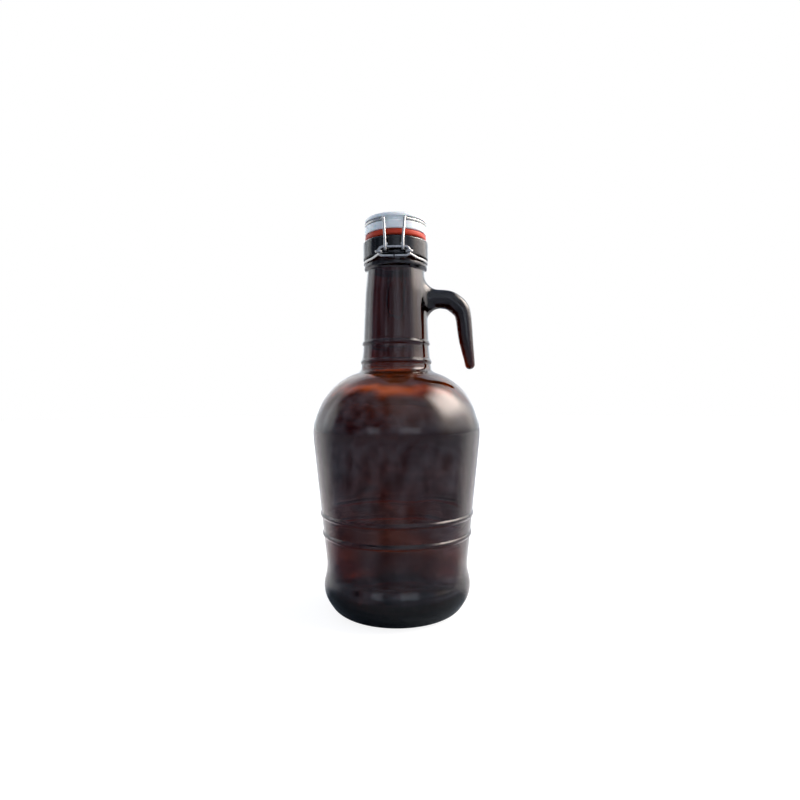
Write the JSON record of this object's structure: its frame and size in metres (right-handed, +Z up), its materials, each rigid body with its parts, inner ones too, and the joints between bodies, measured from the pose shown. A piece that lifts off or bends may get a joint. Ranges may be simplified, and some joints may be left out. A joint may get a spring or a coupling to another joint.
{
  "type": "growler",
  "caption": "Brown glass growler with a hooked side handle and a lid held down by a wire clip with a thumb lever.",
  "frame": {"origin": "middle of the ring that the bottle stands on, on the bottle's axis", "axes": "+Z up along the bottle's axis, +X towards the handle, -Y towards the lid's hinge, +Y towards the thumb lever"},
  "size_m": [0.1364, 0.1364, 0.3192],
  "materials": {
    "amber_glass": "gloss",
    "white_lid": "gloss",
    "red_rubber": "satin",
    "steel_wire": "satin"
  },
  "bodies": {
    "bottle": {"bottle": "amber_glass", "handle": "amber_glass", "neck_band": "steel_wire", "hinge_link": "steel_wire"},
    "lid": {"lid": "white_lid", "gasket": "red_rubber", "lid_wire": "steel_wire"},
    "lever": {"lever": "steel_wire"},
    "tension_link": {"tension_link": "steel_wire"}
  },
  "joints": [
    {"name": "lid_hinge", "type": "hinge", "parent": "bottle", "child": "lid", "pos_m": [0, -0.0298, 0.2898], "axis": [1, 0, 0], "range_deg": [0, 110]},
    {"name": "lever_pivot", "type": "hinge", "parent": "bottle", "child": "lever", "pos_m": [0, 0.0293, 0.2834], "axis": [1, 0, 0], "range_deg": [0, 39]},
    {"name": "tension_link_pivot", "type": "hinge", "parent": "lever", "child": "tension_link", "pos_m": [0, 0.0283, 0.2744], "axis": [-1, 0, 0], "range_deg": [0, 144]}
  ],
  "couplings": [
    {"joint": "lever_pivot", "follows": "lid_hinge", "ratio": 0.35},
    {"joint": "tension_link_pivot", "follows": "lid_hinge", "ratio": 1.3}
  ]
}
